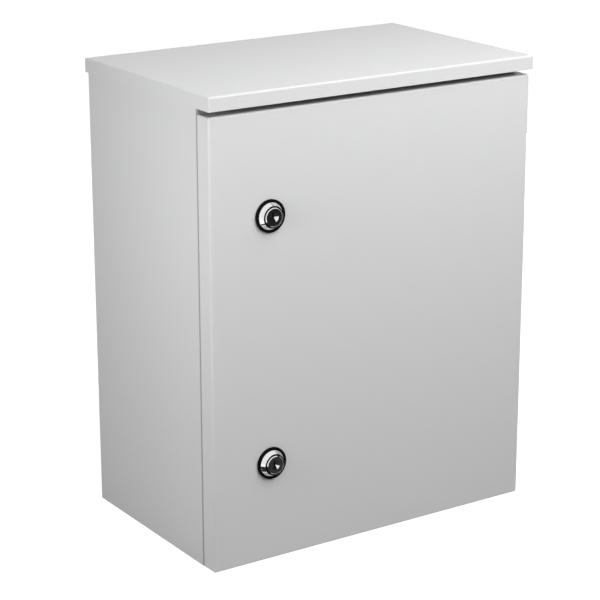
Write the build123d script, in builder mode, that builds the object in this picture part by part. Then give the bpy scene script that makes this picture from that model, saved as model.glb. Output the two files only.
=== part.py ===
from build123d import *
import os

# A sheet steel wall enclosure with a rain roof, one door with two key locks, and a mounting plate.
# Millimetres. The origin is the centre of the four wall fixing holes, on the face of the wall.
# +X is to the right of a person who faces the door, +Y goes into the wall, +Z is up.

os.makedirs("parts", exist_ok=True)

# Overall sizes
door_width = 400.0
total_height = 500.0
door_face_from_wall = 250.0

# Sheet thicknesses, and the inside radius of the body's bends
body_sheet = 1.2
roof_sheet = 1.2
door_sheet = 1.5
plate_sheet = 2.0
bend_inside = 1.5

# Gaps: a welded seam, a flat seat, a turning fit, the air round a screw, a soft seal, and how far
# a cut reaches past what it cuts
weld_gap = 0.1
seat_gap = 0.05
running_fit = 0.05
screw_air = 0.4
soft_gap = 0.3
cut_margin = 2.4

# How the shells stand to each other
body_side_inset = 1.0
wall_pad_height = 2.0
bottom_inset = 2.5
roof_side_overhang = 1.5
roof_front_overhang = 4.0
roof_flange = 15.0
roof_back_gap = 0.3
roof_seal_thickness = 1.5
roof_to_door = 6.0
door_foot_gap = 0.3
door_depth = 20.5
seam_gap = 2.3

# Outer bends and corners of the roof and the door
roof_bend = 2.2
roof_corner = 1.8
door_bend = 2.6
door_corner = 2.2

# Front frame of the body: a return, then a lip that presses into the door's seal
lip_inset = 36.0
lip_end_inset = 20.0
gasket_width = 12.0
gasket_thickness = 6.0
gasket_crown = 2.0
gasket_corner = 8.0

# Wall fixing: four holes in pads that are pressed out of the back
fixing_side_distance = 25.0
fixing_end_distance = 35.0
fixing_hole_radius = 4.5
pad_radius = 13.0
pad_slope = 35.0

# Roof fixing: welded studs, sealing washers and flanged nuts
roof_stud_side_distance = 50.0
roof_stud_end_distance = 42.6
roof_stud_radius = 3.0
roof_stud_length = 13.0
roof_washer_radius = 9.0
flange_nut_flats = 10.0
flange_nut_height = 6.0
flange_nut_collar = 6.6
flange_nut_collar_height = 1.4

# Cable entries in the bottom
entry_hole_radius = 18.5
entry_spacing = 90.0
entry_from_back = 80.0
grommet_lip = 3.5
grommet_lip_height = 1.8
grommet_wall = 3.0
grommet_collar_height = 2.6
grommet_cone_height = 4.6
grommet_membrane = 1.2

# Mounting plate and what holds it
plate_side_margin = 35.0
plate_end_margin = 35.0
plate_fold = 10.0
plate_bend = 2.0
plate_stud_inset = 15.0
plate_stud_radius = 4.0
plate_stud_end = 3.0
spacer_length = 14.0
spacer_radius = 8.0
plate_washer_radius = 8.0
plate_washer_thickness = 1.6
plate_nut_flats = 13.0
plate_nut_height = 6.5

# Earth studs
earth_stud_radius = 3.0
earth_stud_length = 18.0
earth_nut_gap = 1.0
body_earth_side_distance = 80.0
body_earth_rise = 10.5
door_earth_side_distance = 54.0
door_earth_rise = 34.0

# Concealed hinges
hinge_end_distance = 70.0
hinge_axis_inset = 7.0
hinge_axis_depth = 7.5
hinge_pin_radius = 2.5
hinge_knuckle_radius = 5.0
hinge_knuckle_length = 36.0
hinge_strap = 2.0
hinge_leg_distance = 17.0
hinge_bend_inside = 1.5
hinge_end_play = 0.3
lug_thickness = 3.0
lug_reach = 6.0
lug_foot = 2.0
lug_foot_height = 14.0
pin_head_radius = 3.3
pin_head_height = 2.0
pin_tail = 3.5
pin_groove_radius = 1.9
clip_thickness = 1.0
hinge_screw_radius = 2.0
hinge_screw_spacing = 20.0
hinge_screw_head_radius = 3.7
hinge_screw_head_height = 2.4
hinge_nut_flats = 7.0
hinge_nut_height = 3.2
hinge_screw_end = 1.0

# Key locks
lock_edge_distance = 70.0
lock_end_distance = 107.5
lock_ring_border = 2.3
lock_ring_thickness = 2.6
lock_ring_edge = 0.5
bezel_slope = 3.4
bezel_height = 4.4
bezel_rim = 0.9
bezel_lip = 0.5
barrel_radius = 11.0
barrel_flat = 9.9
barrel_air = 0.15
plug_radius = 7.5
plug_head_radius = 9.85
plug_head_air = 1.15
plug_head_depth = 3.0
plug_chamfer = 1.4
keyway_width = 2.4
keyway_length = 11.0
keyway_depth = 8.0
keyway_lean = 18.0
lock_nut_flats = 27.0
lock_nut_height = 5.0
shank_width = 8.0
shank_air = 0.1
cam_thickness = 2.5
cam_behind_return = 1.0
cam_overlap = 13.0
cam_width = 14.0
cam_hub_radius = 10.0
cam_tip_corner = 3.0
cam_screw_radius = 2.5
cam_screw_length = 12.0
cam_screw_head_radius = 4.5
cam_screw_head_height = 3.5
cam_washer_radius = 6.5
cam_washer_thickness = 1.2
socket_flats = 3.0
socket_depth = 1.8

# Heights and depths that follow
floor_z = -total_height / 2
roof_top_z = total_height / 2
body_top_z = roof_top_z - roof_sheet - roof_seal_thickness
bottom_z = floor_z + bottom_inset
door_top_z = roof_top_z - roof_flange - roof_to_door
door_bottom_z = floor_z + door_foot_gap
door_height = door_top_z - door_bottom_z
door_centre_z = (door_top_z + door_bottom_z) / 2
back_y = -wall_pad_height
back_inside_y = back_y - body_sheet
face_y = -door_face_from_wall
door_inside_y = face_y + door_sheet
door_bend_inside = door_bend - door_sheet
door_rear_y = face_y + door_depth
seam_y = door_rear_y + seam_gap
return_back_y = seam_y + body_sheet
gasket_back_y = door_inside_y + gasket_thickness
lip_y = gasket_back_y + soft_gap

# Widths that follow
body_half = door_width / 2 - body_side_inset
panel_half = body_half - body_sheet - weld_gap
bend_start = body_half - body_sheet - bend_inside
lip_x = body_half - lip_inset
lip_top_z = door_top_z - lip_end_inset
lip_bottom_z = door_bottom_z + lip_end_inset
opening_centre_z = (lip_top_z + lip_bottom_z) / 2
half_sheet = body_sheet / 2
bend_middle = bend_inside + half_sheet

# Places that the fastenings share
fixing_spacing_x = door_width - 2 * fixing_side_distance
fixing_spacing_z = total_height - 2 * fixing_end_distance
roof_stud_centre_y = (back_y + seam_y) / 2
roof_stud_spacing_x = door_width - 2 * roof_stud_side_distance
roof_stud_spacing_y = back_y - seam_y - 2 * roof_stud_end_distance
plate_width = door_width - 2 * plate_side_margin
plate_height = total_height - 2 * plate_end_margin
plate_stud_spacing_x = plate_width - 2 * plate_stud_inset
plate_stud_spacing_z = plate_height - 2 * plate_stud_inset
entry_y = back_inside_y - entry_from_back
plate_back_y = back_inside_y - spacer_length
plate_front_y = plate_back_y - plate_sheet
plate_nut_y = plate_front_y - plate_washer_thickness
body_earth_x = -door_width / 2 + body_earth_side_distance
body_earth_z = bottom_z + body_sheet + body_earth_rise
door_earth_x = door_width / 2 - door_earth_side_distance
door_earth_z = door_bottom_z + door_earth_rise
hinge_x = door_width / 2 - hinge_axis_inset
hinge_y = face_y + hinge_axis_depth
hinge_heights = {
    "upper": door_top_z - hinge_end_distance,
    "lower": door_bottom_z + hinge_end_distance,
}
hinge_base_x = lip_x + bend_inside + seat_gap
hinge_base_end_x = hinge_x - hinge_leg_distance - hinge_strap / 2 - hinge_bend_inside
hinge_screw_x = (hinge_base_x + hinge_base_end_x) / 2
hinge_screw_places = [
    (hinge_screw_x, hinge_z + side * hinge_screw_spacing / 2)
    for hinge_z in hinge_heights.values()
    for side in (-1, 1)
]
hinge_seat_y = seam_y - seat_gap
strap_front_y = hinge_seat_y - hinge_strap
lock_x = -door_width / 2 + lock_edge_distance
lock_heights = {
    "upper": door_top_z - lock_end_distance,
    "lower": door_bottom_z + lock_end_distance,
}
bezel_seat_y = face_y - lock_ring_thickness
bezel_tip_y = bezel_seat_y - bezel_height
plug_face_y = bezel_tip_y - plug_chamfer
well_radius = plug_head_radius + plug_head_air
bezel_tip_radius = well_radius + bezel_lip
bezel_radius = bezel_tip_radius + bezel_slope
lock_ring_radius = bezel_radius + lock_ring_border
cam_front_y = return_back_y + cam_behind_return
cam_back_y = cam_front_y + cam_thickness
cam_washer_back_y = cam_back_y + cam_washer_thickness
lock_places = [(lock_x, lock_z) for lock_z in lock_heights.values()]


def level(z):
    """A plane that lies flat at height z."""
    return Plane.XY.offset(z)


def upright(y):
    """A plane that stands parallel to the wall at depth y and looks out at the front."""
    return Plane.XZ.offset(-y)


def save(piece, name):
    """Name a finished piece and write it."""
    piece.part.label = name
    export_step(piece.part, f"parts/{name}.step")


def corners(spacing_x, spacing_y, centre_y=0.0):
    """Four places at the corners of a rectangle."""
    return [(side * spacing_x / 2, centre_y + end * spacing_y / 2) for side in (-1, 1) for end in (-1, 1)]


def mitred_zone(lip_z, end_z, narrower=0.0):
    """The part of the front frame above or below the opening, between its two mitred corners."""
    outward = 1 if end_z > lip_z else -1
    towards_opening = lip_x - cut_margin
    inner_z = lip_z - outward * cut_margin
    at_end = lip_x + abs(end_z - lip_z)
    with BuildSketch() as zone:
        with BuildLine():
            Polyline(
                (narrower - towards_opening, inner_z),
                (towards_opening - narrower, inner_z),
                (at_end - narrower, end_z),
                (narrower - at_end, end_z),
                close=True,
            )
        make_face()
        with Locations((0, (lip_z + end_z) / 2)):
            Rectangle(2 * (bend_start - narrower), total_height, mode=Mode.INTERSECT)
    return zone.sketch


# Body wrap: left side, back and right side folded from one sheet, with the front returns and lips
front_layer = return_back_y - lip_y + cut_margin
fixing_places = corners(fixing_spacing_x, fixing_spacing_z)
with BuildPart() as body_wrap:
    with BuildSketch(level(floor_z)):
        with BuildLine():
            FilletPolyline(
                (half_sheet - lip_x, lip_y),
                (half_sheet - lip_x, seam_y + half_sheet),
                (half_sheet - body_half, seam_y + half_sheet),
                (half_sheet - body_half, back_y - half_sheet),
                (body_half - half_sheet, back_y - half_sheet),
                (body_half - half_sheet, seam_y + half_sheet),
                (lip_x - half_sheet, seam_y + half_sheet),
                (lip_x - half_sheet, lip_y),
                radius=bend_middle,
            )
        trace(line_width=body_sheet)
    extrude(amount=body_top_z - floor_z)
    # The returns and lips stop at the mitres, where the top and the bottom take over
    with BuildSketch(upright(return_back_y)):
        add(mitred_zone(lip_top_z, body_top_z + cut_margin))
        add(mitred_zone(lip_bottom_z, floor_z - cut_margin))
    extrude(amount=front_layer, mode=Mode.SUBTRACT)
    # Pads pressed out towards the wall, hollow on the inside, with the fixing holes
    with BuildSketch(upright(back_y)):
        with Locations(*fixing_places):
            Circle(pad_radius)
    extrude(amount=-wall_pad_height, taper=pad_slope)
    with BuildSketch(upright(back_inside_y)):
        with Locations(*fixing_places):
            Circle(pad_radius - half_sheet)
    extrude(amount=-wall_pad_height, taper=pad_slope, mode=Mode.SUBTRACT)
    with BuildSketch(upright(back_inside_y)):
        with Locations(*fixing_places):
            Circle(fixing_hole_radius)
    extrude(amount=-(body_sheet + wall_pad_height), mode=Mode.SUBTRACT)
    # Holes for the hinge screws in the right return
    with BuildSketch(upright(seam_y)):
        with Locations(*hinge_screw_places):
            Circle(hinge_screw_radius + screw_air)
    extrude(amount=-body_sheet, mode=Mode.SUBTRACT)
save(body_wrap, "body_wrap")


def end_panel(outer_z, lip_z, up, holes):
    """A top (up is 1) or bottom (up is -1) panel with its return and lip, welded inside the wrap."""
    panel_z = outer_z - up * half_sheet
    beyond_z = outer_z + up * (bottom_inset + cut_margin)
    panel_front_y = return_back_y + weld_gap
    panel_back_y = back_inside_y - weld_gap
    with BuildPart() as panel:
        with BuildSketch(Plane.YZ.offset(-panel_half)):
            with BuildLine():
                FilletPolyline(
                    (lip_y, lip_z - up * half_sheet),
                    (seam_y + half_sheet, lip_z - up * half_sheet),
                    (seam_y + half_sheet, panel_z),
                    (panel_back_y, panel_z),
                    radius=bend_middle,
                )
            trace(line_width=body_sheet)
        extrude(amount=2 * panel_half)
        # The front frame ends at the mitres, and the panel follows the wrap's inside corners
        with BuildSketch(upright(panel_front_y)):
            with Locations((0, (lip_z + beyond_z) / 2)):
                Rectangle(door_width, total_height)
            add(mitred_zone(lip_z, beyond_z, weld_gap), mode=Mode.SUBTRACT)
        extrude(amount=front_layer, mode=Mode.SUBTRACT)
        with BuildSketch(level(floor_z)):
            with Locations((0, (panel_front_y + panel_back_y) / 2)):
                RectangleRounded(2 * panel_half, panel_back_y - panel_front_y, bend_inside)
            with Locations((0, panel_back_y)):
                Rectangle(
                    2 * (bend_start - weld_gap),
                    panel_back_y - lip_y,
                    align=(Align.CENTER, Align.MAX),
                )
        extrude(amount=total_height, mode=Mode.INTERSECT)
        with BuildSketch(level(panel_z)):
            add(holes)
        extrude(amount=body_sheet, both=True, mode=Mode.SUBTRACT)
    return panel


# Body top, under the roof, with the holes for the roof's studs
roof_stud_places = corners(roof_stud_spacing_x, roof_stud_spacing_y, roof_stud_centre_y)
with BuildSketch() as roof_stud_holes:
    with Locations(*roof_stud_places):
        Circle(roof_stud_radius + screw_air)
body_top = end_panel(body_top_z, lip_top_z, 1, roof_stud_holes.sketch)
save(body_top, "body_top")

# Body bottom, set up inside the wrap, with the cable entry holes
entry_places = {"left": -entry_spacing, "middle": 0.0, "right": entry_spacing}
with BuildSketch() as entry_holes:
    with Locations(*[(entry_x, entry_y) for entry_x in entry_places.values()]):
        Circle(entry_hole_radius)
body_bottom = end_panel(bottom_z, lip_bottom_z, -1, entry_holes.sketch)
save(body_bottom, "body_bottom")

# Rain roof: a cap with a flange on all four sides, its corners welded and dressed round
roof_front_y = face_y - roof_front_overhang
roof_back_y = back_y + roof_back_gap + roof_sheet
with BuildPart() as roof_cap:
    with BuildSketch(level(roof_top_z - roof_flange)):
        with Locations((0, (roof_front_y + roof_back_y) / 2)):
            Rectangle(door_width + 2 * roof_side_overhang, roof_back_y - roof_front_y)
    extrude(amount=roof_flange)
    fillet(roof_cap.edges().filter_by(Axis.Z), radius=roof_corner)
    fillet(roof_cap.faces().sort_by(Axis.Z)[-1].edges(), radius=roof_bend)
    offset(amount=-roof_sheet, openings=roof_cap.faces().sort_by(Axis.Z)[0])
save(roof_cap, "roof_cap")

# Studs welded under the roof
with BuildPart() as roof_studs:
    with BuildSketch(level(roof_top_z - roof_sheet)):
        with Locations(*roof_stud_places):
            Circle(roof_stud_radius)
    extrude(amount=-roof_stud_length)
save(roof_studs, "roof_studs")

# Rubber washers between roof and body, which keep rain out of the stud holes
with BuildPart() as roof_seal_washers:
    with BuildSketch(level(body_top_z)):
        with Locations(*roof_stud_places):
            Circle(roof_washer_radius)
            Circle(roof_stud_radius + seat_gap, mode=Mode.SUBTRACT)
    extrude(amount=roof_seal_thickness)
save(roof_seal_washers, "roof_seal_washers")


def flanged_nuts(seat, places, bore_radius):
    """Hexagon nuts on a collar, at places on a plane that faces the way the stud points."""
    with BuildPart() as nuts:
        with BuildSketch(seat):
            with Locations(*places):
                Circle(flange_nut_collar)
                Circle(bore_radius, mode=Mode.SUBTRACT)
        extrude(amount=flange_nut_collar_height)
        with BuildSketch(seat.offset(flange_nut_collar_height)):
            with Locations(*places):
                RegularPolygon(flange_nut_flats / 2, 6, major_radius=False)
                Circle(bore_radius, mode=Mode.SUBTRACT)
        extrude(amount=flange_nut_height - flange_nut_collar_height)
    return nuts


# Flanged nuts on the roof studs, inside the body
ceiling = Plane(origin=(0, 0, body_top_z - body_sheet), x_dir=(1, 0, 0), z_dir=(0, 0, -1))
roof_nuts = flanged_nuts(
    ceiling,
    corners(roof_stud_spacing_x, roof_stud_spacing_y, -roof_stud_centre_y),
    roof_stud_radius + seat_gap,
)
save(roof_nuts, "roof_nuts")

# Rubber grommets in the bottom, closed by a membrane that is cut for each cable
grommet_neck = entry_hole_radius - weld_gap
grommet_edge = grommet_neck + grommet_lip
grommet_bore = grommet_neck - grommet_wall
bottom_inside_z = bottom_z + body_sheet
collar_top_z = bottom_inside_z + grommet_collar_height
cone_top_z = collar_top_z + grommet_cone_height
membrane_z = collar_top_z
for place, entry_x in entry_places.items():
    with BuildPart() as cable_grommet:
        with BuildSketch(Plane.XZ.offset(-entry_y)):
            with BuildLine():
                Polyline(
                    (entry_x, membrane_z),
                    (entry_x + grommet_bore, membrane_z),
                    (entry_x + grommet_bore, bottom_z - grommet_lip_height),
                    (entry_x + grommet_edge, bottom_z - grommet_lip_height),
                    (entry_x + grommet_edge, bottom_z - seat_gap),
                    (entry_x + grommet_neck, bottom_z - seat_gap),
                    (entry_x + grommet_neck, bottom_inside_z + seat_gap),
                    (entry_x + grommet_edge, bottom_inside_z + seat_gap),
                    (entry_x + grommet_edge, collar_top_z),
                    (entry_x + grommet_neck, cone_top_z),
                    (entry_x + grommet_bore, cone_top_z),
                    (entry_x + grommet_bore, membrane_z + grommet_membrane),
                    (entry_x, membrane_z + grommet_membrane),
                    close=True,
                )
            make_face()
        revolve(axis=Axis((entry_x, entry_y, 0), (0, 0, 1)))
    save(cable_grommet, f"{place}_cable_grommet")

# Studs welded to the back, which carry the mounting plate
plate_stud_places = corners(plate_stud_spacing_x, plate_stud_spacing_z, opening_centre_z)
plate_stud_end_y = plate_nut_y - plate_nut_height - plate_stud_end
with BuildPart() as plate_studs:
    with BuildSketch(upright(back_inside_y)):
        with Locations(*plate_stud_places):
            Circle(plate_stud_radius)
    extrude(amount=back_inside_y - plate_stud_end_y)
save(plate_studs, "plate_studs")

# Tube spacers between the back and the mounting plate
with BuildPart() as plate_spacers:
    with BuildSketch(upright(back_inside_y)):
        with Locations(*plate_stud_places):
            Circle(spacer_radius)
            Circle(plate_stud_radius + screw_air, mode=Mode.SUBTRACT)
    extrude(amount=spacer_length)
save(plate_spacers, "plate_spacers")

# Mounting plate: galvanised sheet with its two long edges folded back
half_plate = plate_sheet / 2
with BuildPart() as mounting_plate:
    with BuildSketch(level(opening_centre_z - plate_height / 2)):
        with BuildLine():
            FilletPolyline(
                (half_plate - plate_width / 2, plate_front_y + plate_fold),
                (half_plate - plate_width / 2, plate_front_y + half_plate),
                (plate_width / 2 - half_plate, plate_front_y + half_plate),
                (plate_width / 2 - half_plate, plate_front_y + plate_fold),
                radius=plate_bend + half_plate,
            )
        trace(line_width=plate_sheet)
    extrude(amount=plate_height)
    with BuildSketch(upright(plate_back_y)):
        with Locations(*plate_stud_places):
            Circle(plate_stud_radius + screw_air)
    extrude(amount=plate_sheet, mode=Mode.SUBTRACT)
save(mounting_plate, "mounting_plate")

# Washers and nuts that clamp the mounting plate
with BuildPart() as plate_washers:
    with BuildSketch(upright(plate_front_y)):
        with Locations(*plate_stud_places):
            Circle(plate_washer_radius)
            Circle(plate_stud_radius + seat_gap, mode=Mode.SUBTRACT)
    extrude(amount=plate_washer_thickness)
save(plate_washers, "plate_washers")

with BuildPart() as plate_nuts:
    with BuildSketch(upright(plate_nut_y)):
        with Locations(*plate_stud_places):
            RegularPolygon(plate_nut_flats / 2, 6, major_radius=False)
            Circle(plate_stud_radius + seat_gap, mode=Mode.SUBTRACT)
    extrude(amount=plate_nut_height)
save(plate_nuts, "plate_nuts")

# Earth stud on the body's back, below the plate, and its nut
with BuildPart() as body_earth_stud:
    with BuildSketch(upright(back_inside_y)):
        with Locations((body_earth_x, body_earth_z)):
            Circle(earth_stud_radius)
    extrude(amount=earth_stud_length)
save(body_earth_stud, "body_earth_stud")
body_earth_nut = flanged_nuts(
    upright(back_inside_y - earth_nut_gap),
    [(body_earth_x, body_earth_z)],
    earth_stud_radius + seat_gap,
)
save(body_earth_nut, "body_earth_nut")

# Door: a folded pan, open at the back, with two flatted holes for the locks
with BuildPart() as door:
    with BuildSketch(upright(door_rear_y)):
        with Locations((0, door_centre_z)):
            Rectangle(door_width, door_height)
    extrude(amount=door_depth)
    fillet(door.edges().filter_by(Axis.Y), radius=door_corner)
    fillet(door.faces().sort_by(Axis.Y)[0].edges(), radius=door_bend)
    offset(amount=-door_sheet, openings=door.faces().sort_by(Axis.Y)[-1])
    with BuildSketch(upright(door_inside_y)):
        with Locations(*lock_places):
            Circle(barrel_radius + barrel_air)
            Rectangle(2 * lock_ring_radius, 2 * (barrel_flat + barrel_air), mode=Mode.INTERSECT)
    extrude(amount=door_sheet, mode=Mode.SUBTRACT)
save(door, "door")

# Door seal: a foamed ring that the body's lip presses into, with a crowned back
gasket_x = lip_x - half_sheet
gasket_half_z = (lip_top_z - lip_bottom_z) / 2 - half_sheet
with BuildPart() as door_gasket:
    with BuildSketch(upright(gasket_back_y)):
        with Locations((0, opening_centre_z)):
            RectangleRounded(
                2 * gasket_x + gasket_width,
                2 * gasket_half_z + gasket_width,
                gasket_corner + gasket_width / 2,
            )
            RectangleRounded(
                2 * gasket_x - gasket_width,
                2 * gasket_half_z - gasket_width,
                gasket_corner - gasket_width / 2,
                mode=Mode.SUBTRACT,
            )
    extrude(amount=gasket_thickness)
    fillet(door_gasket.faces().sort_by(Axis.Y)[-1].edges(), radius=gasket_crown)
save(door_gasket, "door_gasket")

# Earth stud on the inside of the door, and its nut
inward = Plane(origin=(0, door_inside_y, 0), x_dir=(-1, 0, 0), z_dir=(0, 1, 0))
with BuildPart() as door_earth_stud:
    with BuildSketch(inward):
        with Locations((-door_earth_x, door_earth_z)):
            Circle(earth_stud_radius)
    extrude(amount=earth_stud_length)
save(door_earth_stud, "door_earth_stud")
door_earth_nut = flanged_nuts(
    inward.offset(earth_nut_gap),
    [(-door_earth_x, door_earth_z)],
    earth_stud_radius + seat_gap,
)
save(door_earth_nut, "door_earth_nut")

# Hinges: a goose-neck on the body reaches round the door's edge to the pin, and two lugs on the
# door hold the pin, so nothing of the hinge shows from outside
pin_bore = hinge_pin_radius + running_fit
leg_x = hinge_x - hinge_leg_distance
arm_y = hinge_y - hinge_knuckle_radius + hinge_strap / 2
flange_inside_x = door_width / 2 - door_sheet - seat_gap
skin_inside_y = door_inside_y + seat_gap
lug_left_x = hinge_x - lug_reach
lug_back_y = hinge_y + lug_reach
for place, hinge_z in hinge_heights.items():
    with BuildPart() as hinge_bracket:
        with BuildSketch(level(hinge_z - hinge_knuckle_length / 2)):
            with BuildLine():
                FilletPolyline(
                    (hinge_base_x, hinge_seat_y - hinge_strap / 2),
                    (leg_x, hinge_seat_y - hinge_strap / 2),
                    (leg_x, arm_y),
                    (hinge_x, arm_y),
                    radius=hinge_bend_inside + hinge_strap / 2,
                )
            trace(line_width=hinge_strap)
            with Locations((hinge_x, hinge_y)):
                Circle(hinge_knuckle_radius)
                Circle(pin_bore, mode=Mode.SUBTRACT)
        extrude(amount=hinge_knuckle_length)
        with BuildSketch(upright(hinge_seat_y)):
            with Locations((hinge_screw_x, hinge_z)):
                with GridLocations(hinge_screw_spacing, hinge_screw_spacing, 1, 2):
                    Circle(hinge_screw_radius + screw_air)
        extrude(amount=hinge_strap, mode=Mode.SUBTRACT)
    save(hinge_bracket, f"{place}_hinge_bracket")

    lug_start = hinge_knuckle_length / 2 + hinge_end_play
    for end, side in {"top": 1, "bottom": -1}.items():
        with BuildPart() as hinge_lug:
            with BuildSketch(level(hinge_z + side * lug_start)) as lug_plan:
                with BuildLine():
                    Polyline(
                        (lug_left_x, skin_inside_y),
                        (flange_inside_x, skin_inside_y),
                        (flange_inside_x, lug_back_y),
                        (lug_left_x, lug_back_y),
                        close=True,
                    )
                make_face()
                fillet(lug_plan.vertices().sort_by(Axis.X)[-2:].sort_by(Axis.Y)[0], radius=door_bend_inside)
                left_corners = lug_plan.vertices().sort_by(Axis.X)[:2]
                fillet(left_corners.sort_by(Axis.Y)[-1], radius=lug_reach - seat_gap)
                with Locations((hinge_x, hinge_y)):
                    Circle(pin_bore, mode=Mode.SUBTRACT)
            extrude(amount=side * lug_thickness)
            with BuildSketch(level(hinge_z + side * (lug_start + lug_thickness))) as foot_plan:
                with BuildLine():
                    Polyline(
                        (flange_inside_x - lug_foot, skin_inside_y),
                        (flange_inside_x, skin_inside_y),
                        (flange_inside_x, lug_back_y),
                        (flange_inside_x - lug_foot, lug_back_y),
                        close=True,
                    )
                make_face()
                foot_corner = foot_plan.vertices().sort_by(Axis.X)[-2:].sort_by(Axis.Y)[0]
                fillet(foot_corner, radius=door_bend_inside)
            extrude(amount=side * (lug_foot_height - lug_thickness))
        save(hinge_lug, f"{place}_hinge_{end}_lug")

    lug_outer = lug_start + lug_thickness
    with BuildPart() as hinge_pin:
        with BuildSketch(level(hinge_z + lug_outer + seat_gap)):
            with Locations((hinge_x, hinge_y)):
                Circle(pin_head_radius)
        extrude(amount=pin_head_height)
        with BuildSketch(level(hinge_z + lug_outer + seat_gap)):
            with Locations((hinge_x, hinge_y)):
                Circle(hinge_pin_radius)
        extrude(amount=-(2 * lug_outer + pin_tail))
        with BuildSketch(level(hinge_z - lug_outer - seat_gap)):
            with Locations((hinge_x, hinge_y)):
                Circle(hinge_pin_radius)
                Circle(pin_groove_radius, mode=Mode.SUBTRACT)
        extrude(amount=-(clip_thickness + 2 * seat_gap), mode=Mode.SUBTRACT)
        chamfer(hinge_pin.edges().group_by(Axis.Z)[0], length=hinge_pin_radius - pin_groove_radius)
    save(hinge_pin, f"{place}_hinge_pin")

    with BuildPart() as hinge_clip:
        with BuildSketch(level(hinge_z - lug_outer - 2 * seat_gap)):
            with Locations((hinge_x, hinge_y)):
                Circle(pin_head_radius)
                Circle(pin_groove_radius + seat_gap, mode=Mode.SUBTRACT)
                Rectangle(
                    pin_head_radius,
                    2 * pin_groove_radius,
                    align=(Align.MAX, Align.CENTER),
                    mode=Mode.SUBTRACT,
                )
        extrude(amount=-clip_thickness)
    save(hinge_clip, f"{place}_hinge_clip")

# Screws through the hinge brackets and the body's return, and the nuts behind it
hinge_nut_back_y = return_back_y + hinge_nut_height
socket_floor_y = strap_front_y - seat_gap - hinge_screw_head_height + socket_depth
with BuildPart() as hinge_screws:
    with BuildSketch(upright(strap_front_y - seat_gap)):
        with Locations(*hinge_screw_places):
            Circle(hinge_screw_head_radius)
            RegularPolygon(socket_flats / 2, 6, major_radius=False, mode=Mode.SUBTRACT)
    extrude(amount=hinge_screw_head_height)
    with BuildSketch(upright(socket_floor_y)):
        with Locations(*hinge_screw_places):
            Circle(hinge_screw_radius)
    extrude(amount=socket_floor_y - hinge_nut_back_y - hinge_screw_end)
save(hinge_screws, "hinge_screws")

with BuildPart() as hinge_nuts:
    with BuildSketch(upright(hinge_nut_back_y)):
        with Locations(*hinge_screw_places):
            RegularPolygon(hinge_nut_flats / 2, 6, major_radius=False)
            Circle(hinge_screw_radius + seat_gap, mode=Mode.SUBTRACT)
    extrude(amount=hinge_nut_height)
save(hinge_nuts, "hinge_nuts")

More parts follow.
